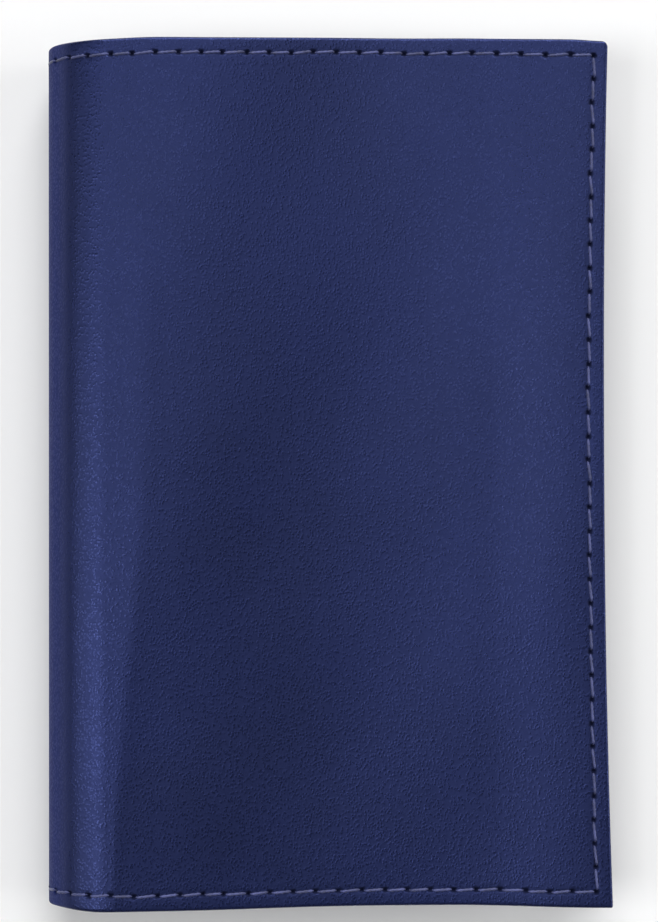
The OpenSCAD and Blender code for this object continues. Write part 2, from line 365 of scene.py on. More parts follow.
class Layer:
    """A piece in the making, gathered as points, faces and a material for each face"""

    def __init__(self):
        self.points, self.faces, self.finish, self.total = [], [], [], 0

    def add_points(self, points):
        """Adds points and gives their indices in the same arrangement"""
        flat = points.reshape(-1, 3)
        self.points.append(flat)
        found = np.arange(self.total, self.total + len(flat)).reshape(points.shape[:-1])
        self.total += len(flat)
        return found

    def add_faces(self, quads, material=0):
        """Adds quads of one material"""
        self.faces += quads.tolist()
        self.finish += [material] * len(quads)

    def grid(self, index, keep):
        """Quads over a grid of indices, where keep says which cells stay"""
        quads = np.stack([index[:-1, :-1], index[1:, :-1], index[1:, 1:], index[:-1, 1:]], axis=-1)
        self.add_faces(quads[keep])

    def lace(self, rings, material=0):
        """Quads between each closed ring of indices and the next"""
        for a, b in zip(rings[:-1], rings[1:]):
            self.add_faces(np.stack([a, np.roll(a, -1), np.roll(b, -1), b], axis=-1), material)

    def as_piece(self, name, materials, smooth_angle):
        """The finished object"""
        return new_piece(name, np.concatenate(self.points), self.faces, materials, self.finish, smooth_angle)


def perimeter(i0, i1, j0, j1):
    """Rows and columns of a grid's border, once round"""
    rows = list(range(i0, i1)) + [i1] * (j1 - j0) + list(range(i1, i0, -1)) + [i0] * (j1 - j0)
    columns = [j0] * (i1 - i0) + list(range(j0, j1)) + [j1] * (i1 - i0) + list(range(j1, j0, -1))
    return np.array(rows), np.array(columns)


def edge_rings(outer, inner, neighbour, bulge, closed_spine):
    """Rings of points that round off a cut edge between its outer and inner border"""
    out = outer - neighbour
    out /= np.maximum(np.linalg.norm(out, axis=-1, keepdims=True), 1e-9)
    if closed_spine is not None:
        out[closed_spine] = 0
    steps = (0.12, 0.5, 0.88)
    return [outer + (inner - outer) * f + out * bulge * math.sin(math.pi * f) ** 0.7 for f in steps]


def rounded_square_border(u, v, half, r):
    """Where rays from the centre through u, v meet a rounded square"""
    scale = np.maximum(np.abs(u), np.abs(v))
    u, v = u / scale, v / scale
    a = u * u + v * v
    b = -2 * (half - r) * (np.abs(u) + np.abs(v))
    c = 2 * (half - r) ** 2 - r * r
    on_arc = (-b + np.sqrt(np.maximum(b * b - 4 * a * c, 0))) / (2 * a)
    on_side = np.full_like(u, half)
    corner = np.minimum(np.abs(u), np.abs(v)) * half > half - r
    reach = np.where(corner, on_arc, on_side)
    return u * reach, v * reach


def nearest_lines(lines, centre, block):
    """Numbers of the grid lines nearest to the two sides of a block round centre"""
    return [int(np.argmin(np.abs(lines - side))) for side in (centre - block, centre + block)]


def cut_window(layer, side, window, border, outer_border, inner_border, depths, edge_material):
    """Fills in between a grid's hole and a window: the outer face falls to the cut edge, and the inner face
    runs up to it"""
    u, v = border[0] - window["s"], border[1] - window["y"]
    half, r, soft = window["half"], window["r"], 0.35
    u0, v0 = rounded_square_border(u, v, half + soft, r + soft)
    u1, v1 = rounded_square_border(u, v, half, r)
    outer, inner = depths
    between = ((u + u0) / 2, (v + v0) / 2)
    shoulder = ((u0 + 2 * u1) / 3, (v0 + 2 * v1) / 3)
    fall = [(*between, outer), (u0, v0, outer), (*shoulder, outer + 0.07), (u1, v1, outer + 0.25),
            (u1, v1, inner - 0.15), (u0, v0, inner), (*between, inner)]
    rings = [layer.add_points(place(side, window["s"] + a, window["y"] + b, d)) for a, b, d in fall]
    layer.lace([outer_border, *rings[:2]])
    layer.lace(rings[1:6], edge_material)
    layer.lace([*rings[5:], inner_border])


def layer_piece(name, side, s_lines, y_lines, outer_depth, inner_depth, materials, corners,
                left_corner=0, window=None, bulge=0.1, marks=None, smooth_angle=50):
    """One layer of a cover as a closed piece: two surfaces at their own depths, and a rounded cut edge round
    them. The cut edge takes the last material, and each mark is an attribute of the outer surface."""
    layer = Layer()
    edge_material = min(1, len(materials) - 1)
    s, y = np.meshgrid(s_lines, y_lines, indexing="ij")
    s, y = round_corners(s, y, s_lines[-1], y_lines[0], y_lines[-1], corners)
    if left_corner:
        s, y = round_left_corners(s, y, s_lines[0], y_lines[0], y_lines[-1], left_corner)
    outer, inner = (place(side, s, y, depth(s, y)) for depth in (outer_depth, inner_depth))
    outer_index, inner_index = layer.add_points(outer), layer.add_points(inner)
    keep = np.ones((len(s_lines) - 1, len(y_lines) - 1), bool)
    if window is not None:
        i0, i1 = nearest_lines(s_lines, window["s"], window["block"])
        j0, j1 = nearest_lines(y_lines, window["y"], window["block"])
        keep[i0:i1, j0:j1] = False
    layer.grid(outer_index, keep)
    layer.grid(inner_index, keep)

    rim = perimeter(0, len(s_lines) - 1, 0, len(y_lines) - 1)
    inward = (np.clip(rim[0], 1, len(s_lines) - 2), np.clip(rim[1], 1, len(y_lines) - 2))
    at_spine = (rim[0] == 0) if not left_corner else None
    rings = edge_rings(outer[rim], inner[rim], outer[inward], bulge, at_spine)
    layer.lace([outer_index[rim], *[layer.add_points(r) for r in rings], inner_index[rim]], edge_material)

    if window is not None:
        hole = perimeter(i0, i1, j0, j1)
        beside = (window["s"] + window["half"] + 2, window["y"])
        depths = (float(outer_depth(*beside)), float(inner_depth(*beside)))
        cut_window(layer, side, window, (s[hole], y[hole]), outer_index[hole], inner_index[hole], depths,
                   edge_material)

    piece = layer.as_piece(name, materials, smooth_angle)
    for mark, worth in (marks or {}).items():
        values = np.zeros(len(piece.data.vertices), np.float32)
        values[:outer_index.size] = worth(s, y).ravel()
        piece.data.attributes.new(mark, "FLOAT", "POINT").data.foreach_set("value", values)
    if window is not None:  # after the marks, which go by the order of the points
        remove_loose_points(piece.data)
    return piece


def remove_loose_points(mesh):
    """Drops the grid points that a window has left without faces"""
    shaped = bmesh.new()
    shaped.from_mesh(mesh)
    loose = [v for v in shaped.verts if not v.link_faces]
    bmesh.ops.delete(shaped, geom=loose, context="VERTS")
    shaped.to_mesh(mesh)
    shaped.free()


# ---------------------------------------------------------------- materials

# How often a pattern repeats in 1 mm, from the width of one of its marks. The grain's own width is a setting.
WORN_AREAS = 0.055  # places that hands have smoothed, 18 mm wide
DYE_PATCHES = 0.035  # 29 mm wide, and half as wide on a thin split
PAINT_LUMPS = 1.4  # brushed paint dries in lumps 0.7 mm wide
NAP_TUFTS = 7.0  # microfibres are far finer, and are drawn in tufts 0.14 mm wide, so that they show
BRUSH_STROKES = 0.12  # 8 mm wide
THREAD_FIBRES = 3.4  # fibres are far finer, and are drawn 0.3 mm long, so that they show
THREAD_DUST = 0.4  # 2.5 mm apart
SPARK_PITS = 5.0  # a spark-eroded texture is about 0.03 mm wide, and is drawn 0.2 mm wide, so that it shows
HANDLED_AREAS = 0.08  # 12 mm wide
BOARD_FLECKS = 2.2  # 0.45 mm wide
FILM_BUBBLES = 0.9  # 1.1 mm apart
PAPER_CLOUDS = 0.02  # 50 mm wide
GRAIN_DEPTH = 0.028  # how deep the plate presses the pebbles, in mm

def add(tree, kind, inputs=(), **settings):
    """Adds a node with its settings. Each input is a name or number with a value, or with a socket to
    link."""
    made = tree.nodes.new(kind)
    for key, value in settings.items():
        setattr(made, key, value)
    for key, value in dict(inputs).items():
        if isinstance(value, bpy.types.NodeSocket):
            tree.links.new(value, made.inputs[key])
        else:
            made.inputs[key].default_value = value
    return made


def new_material(name):
    """An empty material: its tree, and a texture space measured in mm"""
    material = bpy.data.materials.new(name)
    material.use_nodes = True
    tree = material.node_tree
    tree.nodes.clear()
    where = add(tree, "ShaderNodeTexCoord")
    in_mm = add(tree, "ShaderNodeVectorMath", {0: where.outputs["Object"], 1: (1 / MM,) * 3},
                operation="MULTIPLY")
    return material, tree, in_mm.outputs[0]


def navy_cowhide():
    """Semi-aniline cowhide, given a navy drum dye under a thin satin coat and plated with a small pebble
    grain: a deep, slightly patchy blue whose sheen breaks into sparkles along the pebbles. The pebbles are a
    little wider than they are high, and a ripple as wide as they are bends their rows. Pores finer than the
    pebbles are drawn as coarse as they need to show. Light and shade are also painted into its colour: shade
    in the creases between the pebbles and in the stitch holes, and a lighter, bluer sheen along mid-spine."""
    look = bpy.context.scene.wallet_leather
    material, tree, mm = new_material("navy_cowhide")
    ripple = add(tree, "ShaderNodeTexNoise", {"Vector": mm, "Scale": 0.9 / look.grain, "Detail": 2.0})
    swayed = add(tree, "ShaderNodeVectorMath", {0: ripple.outputs["Color"], 1: (0.5, 0.5, 0.5)},
                 operation="SUBTRACT")
    sway = add(tree, "ShaderNodeVectorMath", {0: swayed.outputs[0], "Scale": 0.35 * look.grain},
               operation="SCALE")
    drawn = add(tree, "ShaderNodeVectorMath", {0: mm, 1: (1.0, 0.78, 1.0)}, operation="MULTIPLY")
    pebble_space = add(tree, "ShaderNodeVectorMath", {0: drawn.outputs[0], 1: sway.outputs[0]},
                       operation="ADD")
    pebbles = add(tree, "ShaderNodeTexVoronoi", {"Vector": pebble_space.outputs[0], "Scale": 1 / look.grain,
                                                 "Smoothness": 0.25, "Randomness": 1.0}, feature="SMOOTH_F1")
    domes = add(tree, "ShaderNodeMapRange", {"Value": pebbles.outputs["Distance"], "From Min": 0.7,
                                             "From Max": 0.1}, interpolation_type="SMOOTHSTEP")
    fine = add(tree, "ShaderNodeTexNoise", {"Vector": mm, "Scale": 1.7 / look.grain, "Detail": 2.0,
                                            "Roughness": 0.5})
    worn = add(tree, "ShaderNodeTexNoise", {"Vector": mm, "Scale": WORN_AREAS, "Detail": 3.0,
                                            "Roughness": 0.55})
    relief = add(tree, "ShaderNodeMath", {0: fine.outputs["Fac"], 1: 0.9, 2: domes.outputs["Result"]},
                 operation="MULTIPLY_ADD")
    strength = add(tree, "ShaderNodeMapRange", {"Value": worn.outputs["Fac"], "From Min": 0.3,
                                                "From Max": 0.7, "To Min": 0.6, "To Max": 1.0})
    bump = add(tree, "ShaderNodeBump", {"Height": relief.outputs[0], "Distance": GRAIN_DEPTH * MM,
                                        "Strength": strength.outputs["Result"]})

    patches = add(tree, "ShaderNodeTexNoise", {"Vector": mm, "Scale": DYE_PATCHES, "Detail": 4.0,
                                               "Roughness": 0.6})
    patch_share = add(tree, "ShaderNodeMapRange", {"Value": patches.outputs["Fac"], "From Min": 0.35,
                                                   "From Max": 0.65})
    dye = add(tree, "ShaderNodeMix", {0: patch_share.outputs["Result"], 6: hex_to_linear(look.shade),
                                      7: hex_to_linear(look.colour)}, data_type="RGBA")
    # Painted sheen: along mid-spine the rubbed mask mixes the lighter, bluer spine colour into the leather's
    # colour, in place of the light on the rounded spine. The same mask also makes the finish rougher there.
    rubbed = add(tree, "ShaderNodeAttribute", attribute_name="rubbed")
    spine_sheen_mix = add(tree, "ShaderNodeMix", {0: rubbed.outputs["Fac"], 6: dye.outputs[2],
                                            7: hex_to_linear(look.painted_spine_sheen_colour)}, data_type="RGBA")
    # Painted shade: the leather's colour is darkened to four fifths in the creases between the pebbles
    painted_crease_shade = add(tree, "ShaderNodeMapRange", {"Value": domes.outputs["Result"], "To Min": 0.80,
                                                  "To Max": 1.0})
    scaled_colour = add(tree, "ShaderNodeVectorMath", {0: spine_sheen_mix.outputs[2], "Scale": painted_crease_shade.outputs["Result"]},
               operation="SCALE")
    # Painted shade: the stitch holes are painted near black, for the shade inside them
    punched = add(tree, "ShaderNodeAttribute", attribute_name="punched")
    hole_shade_mix = add(tree, "ShaderNodeMix", {0: punched.outputs["Fac"], 6: scaled_colour.outputs[0],
                                       7: hex_to_linear("#070812")}, data_type="RGBA")
    rough = add(tree, "ShaderNodeMapRange", {"Value": fine.outputs["Fac"], "From Min": 0.3, "From Max": 0.7,
                                             "To Min": look.roughness + 0.11, "To Max": look.roughness + 0.25})
    glossed = add(tree, "ShaderNodeMath", {0: domes.outputs["Result"], 1: -0.2, 2: rough.outputs["Result"]},
                  operation="MULTIPLY_ADD")
    duller = add(tree, "ShaderNodeMath", {0: rubbed.outputs["Fac"], 1: 0.4, 2: glossed.outputs[0]},
                 operation="MULTIPLY_ADD")
    matt = add(tree, "ShaderNodeMath", {0: punched.outputs["Fac"], 1: 0.6, 2: duller.outputs[0]},
               operation="MULTIPLY_ADD", use_clamp=True)
    shader = add(tree, "ShaderNodeBsdfPrincipled", {
        "Base Color": hole_shade_mix.outputs[2], "Roughness": matt.outputs[0], "IOR": 1.5, "Specular IOR Level": 0.9,
        "Specular Tint": hex_to_linear("#8a9cff"), "Normal": bump.outputs["Normal"]})
    add(tree, "ShaderNodeOutputMaterial", {"Surface": shader.outputs["BSDF"]})
    return material


def painted_edge():
    """Edge paint over cut leather, brushed on and rubbed: a smoother, slightly lighter navy with faint
    layers"""
    look = bpy.context.scene.wallet_leather
    material, tree, mm = new_material("painted_leather_edge")
    lumps = add(tree, "ShaderNodeTexNoise", {"Vector": mm, "Scale": PAINT_LUMPS, "Detail": 3.0})
    tone = add(tree, "ShaderNodeMix", {0: lumps.outputs["Fac"], 6: hex_to_linear(look.colour),
                                       7: hex_to_linear(look.edge_colour)}, data_type="RGBA")
    bump = add(tree, "ShaderNodeBump", {"Height": lumps.outputs["Fac"], "Distance": 0.05 * MM,
                                        "Strength": 0.5})
    shader = add(tree, "ShaderNodeBsdfPrincipled", {
        "Base Color": tone.outputs[2], "Roughness": 0.42, "IOR": 1.48, "Normal": bump.outputs["Normal"]})
    add(tree, "ShaderNodeOutputMaterial", {"Surface": shader.outputs["BSDF"]})
    return material


def skived_leather():
    """Thin split leather, skived for pockets, with a tight grain: flatter and a little duller than the
    cover"""
    look = bpy.context.scene.wallet_leather
    material, tree, mm = new_material("skived_pocket_leather")
    pores = add(tree, "ShaderNodeTexVoronoi", {"Vector": mm, "Scale": 1.7 / look.grain}, feature="SMOOTH_F1")
    fine = add(tree, "ShaderNodeTexNoise", {"Vector": mm, "Scale": 3.5 / look.grain, "Detail": 2.0})
    relief = add(tree, "ShaderNodeMath", {0: fine.outputs["Fac"], 1: 0.8, 2: pores.outputs["Distance"]},
                 operation="MULTIPLY_ADD")
    bump = add(tree, "ShaderNodeBump", {"Height": relief.outputs[0], "Distance": 0.03 * MM, "Strength": 0.5})
    patches = add(tree, "ShaderNodeTexNoise", {"Vector": mm, "Scale": 2 * DYE_PATCHES, "Detail": 3.0})
    dye = add(tree, "ShaderNodeMix", {0: patches.outputs["Fac"], 6: hex_to_linear(look.shade),
                                      7: hex_to_linear(look.colour)}, data_type="RGBA")
    shader = add(tree, "ShaderNodeBsdfPrincipled", {
        "Base Color": dye.outputs[2], "Roughness": 0.5, "IOR": 1.48,
        "Specular Tint": hex_to_linear("#a3abe4"), "Normal": bump.outputs["Normal"]})
    add(tree, "ShaderNodeOutputMaterial", {"Surface": shader.outputs["BSDF"]})
    return material


def microsuede(name, colour, nap=0.5):
    """Woven microfibre, sueded: a matt cloth whose brushed nap turns lighter and darker in soft patches"""
    material, tree, mm = new_material(name)
    fibres = add(tree, "ShaderNodeTexNoise", {"Vector": mm, "Scale": NAP_TUFTS, "Detail": 4.0,
                                              "Roughness": 0.7})
    brushed = add(tree, "ShaderNodeTexNoise", {"Vector": mm, "Scale": BRUSH_STROKES, "Detail": 3.0,
                                               "Distortion": 0.6})
    share = add(tree, "ShaderNodeMath", {0: fibres.outputs["Fac"], 1: brushed.outputs["Fac"]},
                operation="ADD")
    tone = add(tree, "ShaderNodeMapRange", {"Value": share.outputs[0], "From Min": 0.7, "From Max": 1.3,
                                            "To Min": 1 - 0.45 * nap, "To Max": 1 + 0.45 * nap})
    plain = add(tree, "ShaderNodeVectorMath", {0: hex_to_linear(colour)[:3], "Scale": tone.outputs["Result"]},
                operation="SCALE")
    bump = add(tree, "ShaderNodeBump", {"Height": fibres.outputs["Fac"], "Distance": 0.08 * MM,
                                        "Strength": 0.6})
    shader = add(tree, "ShaderNodeBsdfPrincipled", {
        "Base Color": plain.outputs[0], "Roughness": 0.92, "IOR": 1.45, "Sheen Weight": 0.25,
        "Sheen Roughness": 0.4, "Normal": bump.outputs["Normal"]})
    add(tree, "ShaderNodeOutputMaterial", {"Surface": shader.outputs["BSDF"]})
    return material


def bonded_thread():
    """Bonded polyester thread, twisted from plies and coated: fine lengthwise fibres under a low shine"""
    look = bpy.context.scene.wallet_seam
    material, tree, mm = new_material("bonded_polyester_thread")
    fibres = add(tree, "ShaderNodeTexNoise", {"Vector": mm, "Scale": THREAD_FIBRES, "Detail": 4.0,
                                              "Roughness": 0.7})
    dusty = add(tree, "ShaderNodeTexNoise", {"Vector": mm, "Scale": THREAD_DUST, "Detail": 1.0})
    share = add(tree, "ShaderNodeMath", {0: fibres.outputs["Fac"], 1: dusty.outputs["Fac"]}, operation="ADD")
    tone = add(tree, "ShaderNodeMapRange", {"Value": share.outputs[0], "From Min": 0.75, "From Max": 1.25,
                                            "To Min": 0.55, "To Max": 1.45})
    scaled_colour = add(tree, "ShaderNodeVectorMath", {0: hex_to_linear(look.colour)[:3],
                                              "Scale": tone.outputs["Result"]},
               operation="SCALE")
    bump = add(tree, "ShaderNodeBump", {"Height": fibres.outputs["Fac"], "Distance": 0.05 * MM,
                                        "Strength": 0.6})
    shader = add(tree, "ShaderNodeBsdfPrincipled", {
        "Base Color": scaled_colour.outputs[0], "Roughness": 0.55, "IOR": 1.5, "Sheen Weight": 0.2,
        "Normal": bump.outputs["Normal"]})
    add(tree, "ShaderNodeOutputMaterial", {"Surface": shader.outputs["BSDF"]})
    return material


def moulded_polycarbonate():
    """Injection-moulded polycarbonate from a spark-eroded tool: near black, with a fine even texture that
    kills glare"""
    material, tree, mm = new_material("moulded_polycarbonate")
    texture = add(tree, "ShaderNodeTexNoise", {"Vector": mm, "Scale": SPARK_PITS, "Detail": 2.0,
                                               "Roughness": 0.6})
    handled = add(tree, "ShaderNodeTexNoise", {"Vector": mm, "Scale": HANDLED_AREAS, "Detail": 3.0})
    tone = add(tree, "ShaderNodeMix", {0: handled.outputs["Fac"], 6: hex_to_linear("#1a1c21"),
                                       7: hex_to_linear("#24272e")}, data_type="RGBA")
    rough = add(tree, "ShaderNodeMapRange", {"Value": handled.outputs["Fac"], "To Min": 0.40, "To Max": 0.60})
    bump = add(tree, "ShaderNodeBump", {"Height": texture.outputs["Fac"], "Distance": 0.02 * MM,
                                        "Strength": 0.6})
    shader = add(tree, "ShaderNodeBsdfPrincipled", {
        "Base Color": tone.outputs[2], "Roughness": rough.outputs["Result"], "IOR": 1.585,
        "Normal": bump.outputs["Normal"]})
    add(tree, "ShaderNodeOutputMaterial", {"Surface": shader.outputs["BSDF"]})
    return material


def fibreboard():
    """Pressed fibre stiffening board, raw: a dull warm grey with short flecks"""
    material, tree, mm = new_material("raw_fibreboard")
    flecks = add(tree, "ShaderNodeTexNoise", {"Vector": mm, "Scale": BOARD_FLECKS, "Detail": 5.0,
                                              "Roughness": 0.8})
    tone = add(tree, "ShaderNodeMix", {0: flecks.outputs["Fac"], 6: hex_to_linear("#7d766a"),
                                       7: hex_to_linear("#a89f8f")}, data_type="RGBA")
    bump = add(tree, "ShaderNodeBump", {"Height": flecks.outputs["Fac"], "Distance": 0.06 * MM,
                                        "Strength": 0.5})
    shader = add(tree, "ShaderNodeBsdfPrincipled", {
        "Base Color": tone.outputs[2], "Roughness": 0.9, "IOR": 1.5, "Normal": bump.outputs["Normal"]})
    add(tree, "ShaderNodeOutputMaterial", {"Surface": shader.outputs["BSDF"]})
    return material


def adhesive_film():
    """Acrylic adhesive on a thin film: milky, slightly tacky shine with small trapped bubbles"""
    material, tree, mm = new_material("acrylic_adhesive_film")
    bubbles = add(tree, "ShaderNodeTexVoronoi", {"Vector": mm, "Scale": FILM_BUBBLES})
    tone = add(tree, "ShaderNodeMix", {0: bubbles.outputs["Distance"], 6: hex_to_linear("#d9d8d2"),
                                       7: hex_to_linear("#c4c3bd")}, data_type="RGBA")
    shader = add(tree, "ShaderNodeBsdfPrincipled", {
        "Base Color": tone.outputs[2], "Roughness": 0.3, "IOR": 1.47})
    add(tree, "ShaderNodeOutputMaterial", {"Surface": shader.outputs["BSDF"]})
    return material


def made_once(name, maker):
    """A material by name, made the first time that it's asked for"""
    return bpy.data.materials.get(name) or maker()


def leather_finishes():
    """The cover's leather and the paint on its cut edge"""
    return [made_once("navy_cowhide", navy_cowhide), made_once("painted_leather_edge", painted_edge)]


def lining_cloth():
    """The microsuede of the linings and the cash pocket"""
    colour = bpy.context.scene.wallet_leather.lining_colour
    return made_once("navy_microsuede", lambda: microsuede("navy_microsuede", colour))


def seam_thread():
    """The thread of every seam"""
    return made_once("bonded_polyester_thread", bonded_thread)


# ---------------------------------------------------------------- seams

def even_holes():
    """Where evenly punched holes lie: distances from mid-spine along a long edge, heights on the fore edge
    between its corners, and the height of the corners"""
    seam = bpy.context.scene.wallet_seam
    pitch = (LENGTH - seam.inset) / (seam.long_count + 0.5)
    y_end = HALF_H - seam.inset
    along = (np.arange(seam.long_count + 1) + 0.5) * pitch
    return along, np.linspace(-y_end, y_end, seam.fore_count + 1)[1:-1], y_end


def seam_holes(side):
    """Stitch holes of one cover in order, from the spine's low end round the fore edge to its high end, as s
    and y. The upper fore corner's holes were punched a little further out."""
    seam = bpy.context.scene.wallet_seam
    chance = np.random.default_rng(11 if side == FRONT else 23)
    along, up, y_end = even_holes()
    s = np.concatenate([along, np.full(len(up), along[-1]), along[::-1]])
    y = np.concatenate([np.full(len(along), -y_end), up, np.full(len(along), y_end)])
    s = s + chance.normal(0, seam.wander, len(s))
    y = y + chance.normal(0, 0.7 * seam.wander, len(y))
    near_top = ease(y, 0.3 * HALF_H, HALF_H) * ease(s, LENGTH - 20, LENGTH - 2)
    return np.stack([s + 0.35 * near_top, y], axis=-1)


def nearest_hole(side, s, y):
    """Distance from each grid point to the nearest stitch hole"""
    found = np.full(s.shape, 1e3)
    for hole in seam_holes(side):
        found = np.minimum(found, (s - hole[0]) ** 2 + (y - hole[1]) ** 2)
    return np.sqrt(found)


def seam_distance(side, s, y):
    """Distance from each grid point to the seam's line"""
    holes = seam_holes(side)
    found = np.full(s.shape, 1e3)
    for a, b in zip(holes[:-1], holes[1:]):
        run = b - a
        t = np.clip(((s - a[0]) * run[0] + (y - a[1]) * run[1]) / (run @ run), 0, 1)
        found = np.minimum(found, np.hypot(s - a[0] - t * run[0], y - a[1] - t * run[1]))
    return found


def thread_rise():
    """How far the thread's outside lies from its centre line, in mm"""
    return (1 + PLY_LOBE) * bpy.context.scene.wallet_seam.thread / 2


def leather_relief(side, s, y):
    """Height of the outer leather over its plain surface: a sunk seam, puckered beside the thread, punched
    holes and an edge that falls away. The back rests on its leather, so there the whole thread lies in a
    groove."""
    cover, seam = bpy.context.scene.wallet_cover, bpy.context.scene.wallet_seam
    to_hole, to_seam = nearest_hole(side, s, y), seam_distance(side, s, y)
    bed, bed_width = (0.03, 0.6) if side == FRONT else (1.25 * thread_rise(), 0.4)
    sunk = -bed * np.exp(-(to_seam / bed_width) ** 2)
    pucker = 0.01 * np.exp(-((to_seam - 1.1) / 0.6) ** 2)
    punched = -0.8 * np.clip(1 - (to_hole / (1.25 * seam.hole)) ** 2, 0, 1)
    to_edge = np.minimum(LENGTH - s, HALF_H - np.abs(y))
    short = np.clip(1 - to_edge / cover.edge_round, 0, 1)
    rounded = -cover.edge_round * (1 - np.sqrt(np.maximum(1 - short * short, 0)))
    return sunk + pucker + punched + 0.8 * rounded


def punch_marks(side, s, y):
    """How far each grid point lies in a punched hole, from 0 to 1. The leather's colour is painted near black
    there, as the shade inside the hole, and its finish is made matt.
    """
    hole = bpy.context.scene.wallet_seam.hole
    return np.exp(-(nearest_hole(side, s, y) / (1.5 * hole)) ** 4)


def spine_rub_and_painted_sheen(s, y):
    """How far handling has dulled the leather and how far the painted bluer sheen colour covers it, from 1
    along mid-spine to 0 where the cover starts
    """
    return 1 - ease(s, 5, 12)


def thread_stitch(side, a, b, base_depth, outward, lean, mesh):
    """Adds one stitch of twisted thread from hole a to hole b. It comes up out of one hole, lies along the
    surface at base_depth and goes down into the other; lean shifts its ends across the seam."""
    rings, sides = 20, 8
    r = bpy.context.scene.wallet_seam.thread / 2
    run = b - a
    length = np.linalg.norm(run)
    rim = STITCH_START / length
    u = rim + (1 - 2 * rim) * (1 - np.cos(np.linspace(0, np.pi, rings))) / 2
    across = np.array([-run[1], run[0]]) / length
    shift = lean[0] + (lean[1] - lean[0]) * u
    s, y = (a[k] + run[k] * u + across[k] * shift for k in (0, 1))
    from_end = (np.minimum(u, 1 - u) - rim) * length
    height = -STITCH_DIVE * np.clip(1 - from_end / DIVE_LENGTH, 0, 1) ** 2.5
    centre = place(side, s, y, base_depth - outward * height)
    tangent = np.gradient(centre, axis=0)
    tangent /= np.linalg.norm(tangent, axis=1, keepdims=True)
    _, _, nx, nz = cover_line(side, s)
    normal = np.stack([nx, np.zeros_like(nx), nz], axis=-1)
    beside = np.cross(tangent, normal)
    beside /= np.linalg.norm(beside, axis=1, keepdims=True)
    above = np.cross(beside, tangent)
    turn = np.linspace(0, 2 * np.pi, sides, endpoint=False)
    sewn = np.cumsum(np.r_[0, np.linalg.norm(np.diff(centre, axis=0), axis=1)])
    twist = sewn * 2 * np.pi / TWIST_PITCH
    lobes = r * (1 + PLY_LOBE * np.cos(2 * (turn[None, :] - twist[:, None])))
    points = (centre[:, None] + lobes[..., None] * (np.cos(turn)[None, :, None] * above[:, None]
                                                    + np.sin(turn)[None, :, None] * beside[:, None]))
    index = mesh.add_points(points)
    mesh.lace(list(index))
    mesh.faces += [index[0].tolist(), index[-1][::-1].tolist()]
    mesh.finish += [0, 0]


def edge_seam(name, side):
    """The edge seam of one cover: a stitch between each hole and the next, on the leather and on the lining.
    The back's thread lies in its groove. The front's seam also has the two stitches that cross mid-spine,
    which are drawn a little into the leather."""
    holes = seam_holes(side)
    lining_face = LEATHER_T + LINING_T
    seam = Layer()
    pairs = list(zip(holes[:-1], holes[1:]))
    outer_depth = [0 if side == FRONT else thread_rise() + 2 * HAIR] * len(pairs)
    if side == FRONT:
        other = seam_holes(BACK)
        for end in (0, -1):
            pairs.append((np.array([-other[end][0], other[end][1]]), holes[end]))
            outer_depth.append(0.6 * thread_rise())
    for (a, b), depth in zip(pairs, outer_depth):
        if abs(a[0] - b[0]) > abs(a[1] - b[1]):  # along a long edge, from the spine outwards
            a, b = (a, b) if a[0] < b[0] else (b, a)
            lean = LONG_LEAN
        else:  # down the fore edge
            a, b = (a, b) if a[1] > b[1] else (b, a)
            lean = FORE_LEAN
        thread_stitch(side, a, b, depth, 1, lean, seam)
        thread_stitch(side, a, b, lining_face, -1, (-lean[0], -lean[1]), seam)
    return seam.as_piece(name, [seam_thread()], THREAD_SMOOTH)


def bend_with_spine(piece, cover):
    """Bakes the placement of a piece that runs from a cover to mid-spine into its mesh; both covers are
    treated alike
    """
    if cover == "back":
        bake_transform(piece)
    else:
        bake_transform(piece)


# ---------------------------------------------------------------- grids

# Distances from an edge and from a hole at which the leather's grid needs a line: over the rounded edge, and
# on both sides of the rim and the floor of a hole
EDGE_LINES = (0, 0.05, 0.13, 0.24, 0.4, 0.7, 1.1, 1.5, 1.85, 2.1, 2.22, 2.4, 2.6, 2.8, 3.0, 3.2, 3.38, 3.5,
              4.0,
              4.6, 5.5)
HOLE_LINES = (-0.72, -0.58, -0.24, 0.24, 0.58, 0.72)
BEND_LINES = 0.9


def leather_lines(extra_s=(), extra_y=()):
    """Grid lines of the outer leather: close together along edges, across stitch holes and round the bend"""
    along, up, _ = even_holes()
    s = [0, LENGTH, *extra_s]
    s += [hole + d for hole in along[:-1] for d in HOLE_LINES] + [LENGTH - d for d in EDGE_LINES]
    s += list(np.arange(BEND_LINES, QUARTER + 8, BEND_LINES))
    y = [-HALF_H, HALF_H, *extra_y]
    y += [hole + d for hole in up for d in HOLE_LINES]
    y += [side * (HALF_H - d) for d in EDGE_LINES for side in (-1, 1)]
    return merged(s, 0.04), merged(y, 0.04)


def camera_window():
    """The camera window in the back cover, as a rounded square clear of the bezel, and the block of grid
    cells that is cut out for it"""
    low, high = box_mm("camera_bezel")
    half = (high.x - low.x) / 2 + 0.2
    return {"s": at_x((low.x + high.x) / 2), "y": (low.y + high.y) / 2, "half": half, "r": half / 2 + 0.2,
            "block": half + 1.2}


def window_lines(window):
    """Grid lines that frame the window, as s and y"""
    return [[window[k] + side * window["block"] for side in (-1, 1)] for k in ("s", "y")]


def board_share(s, y):
    """1 over the stiffening board and 0 outside it"""
    inner, outer = BOARD_INSET + 0.2, BOARD_INSET - 0.8
    over = ease(s, QUARTER + outer, QUARTER + inner) * ease(LENGTH - s, outer, inner)
    return over * ease(HALF_H - np.abs(y), outer, inner)


# ---------------------------------------------------------------- operators

